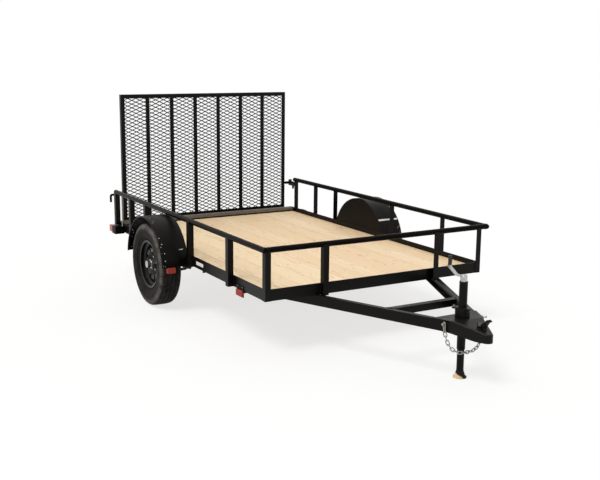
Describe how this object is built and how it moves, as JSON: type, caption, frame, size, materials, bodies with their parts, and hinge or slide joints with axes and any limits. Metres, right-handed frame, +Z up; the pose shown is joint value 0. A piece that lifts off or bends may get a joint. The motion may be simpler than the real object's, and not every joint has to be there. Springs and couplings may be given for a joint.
{
  "type": "utility trailer",
  "caption": "Open utility trailer with a plank deck, pipe rails on angle posts, a mesh ramp gate, A-frame tongue, ball coupler and screw jack.",
  "frame": {"origin": "centre of the base of the trailer's bounding box, on the ground under the wheels and jack", "axes": "+X forward to the coupler, +Y to the trailer's left, +Z up"},
  "size_m": [4.367, 2.392, 1.709],
  "materials": {
    "black_paint": "semi-gloss",
    "deck_wood": "planed",
    "tyre_rubber": "matte",
    "hub_steel": "bright",
    "zinc_steel": "zinc plated",
    "grip_rubber": "matte",
    "red_lens": "moulded"
  },
  "bodies": {
    "trailer": {"frame_front": "black_paint", "frame_rear": "black_paint", "crossmembers": "black_paint", "posts_front": "black_paint", "rail_front": "black_paint", "axle": "black_paint", "tongue_brace": "black_paint", "coupler_body": "black_paint", "coupler_lever": "black_paint", "jack_tube": "black_paint", "hinge_pins": "black_paint", "gate_latches": "black_paint", "frame_side_right": "black_paint", "frame_side_left": "black_paint", "posts_right": "black_paint", "posts_left": "black_paint", "rail_right": "black_paint", "rail_left": "black_paint", "fender_right": "black_paint", "fender_left": "black_paint", "leaf_spring_right": "black_paint", "leaf_spring_left": "black_paint", "spring_hangers_right": "black_paint", "spring_hangers_left": "black_paint", "axle_clamp_right": "black_paint", "axle_clamp_left": "black_paint", "tongue_leg_right": "black_paint", "tongue_leg_left": "black_paint", "tail_lamp_right": "black_paint", "tail_lamp_left": "black_paint", "fender_marker_right": "black_paint", "fender_marker_left": "black_paint", "side_marker_right": "black_paint", "side_marker_left": "black_paint", "deck_planks": "deck_wood", "jack_crank": "zinc_steel", "safety_chain_right": "zinc_steel", "safety_chain_left": "zinc_steel", "jack_grip": "grip_rubber", "tail_lens_right": "red_lens", "tail_lens_left": "red_lens", "fender_marker_lens_right": "red_lens", "fender_marker_lens_left": "red_lens", "side_marker_lens_right": "red_lens", "side_marker_lens_left": "red_lens"},
    "wheel_right": {"tyre_right": "tyre_rubber", "rim_right": "black_paint", "hub_right": "hub_steel"},
    "wheel_left": {"tyre_left": "tyre_rubber", "rim_left": "black_paint", "hub_left": "hub_steel"},
    "gate": {"gate_frame": "black_paint", "gate_bars": "black_paint", "gate_mesh": "black_paint", "hinge_barrels": "black_paint"},
    "jack_leg": {"jack_leg": "black_paint", "jack_foot": "zinc_steel"}
  },
  "joints": [
    {"name": "wheel_right_turn", "type": "hinge", "parent": "trailer", "child": "wheel_right", "pos_m": [-0.8195, -1.088, 0.352], "axis": [0, 1, 0], "continuous": true},
    {"name": "wheel_left_turn", "type": "hinge", "parent": "trailer", "child": "wheel_left", "pos_m": [-0.8195, 1.088, 0.352], "axis": [0, 1, 0], "continuous": true},
    {"name": "gate_swing", "type": "hinge", "parent": "trailer", "child": "gate", "pos_m": [-2.1665, 0, 0.467], "axis": [0, -1, 0], "range_deg": [0, 111]},
    {"name": "jack_slide", "type": "slide", "parent": "trailer", "child": "jack_leg", "axis": [0, 0, 1], "range_m": [0, 0.14]}
  ]
}
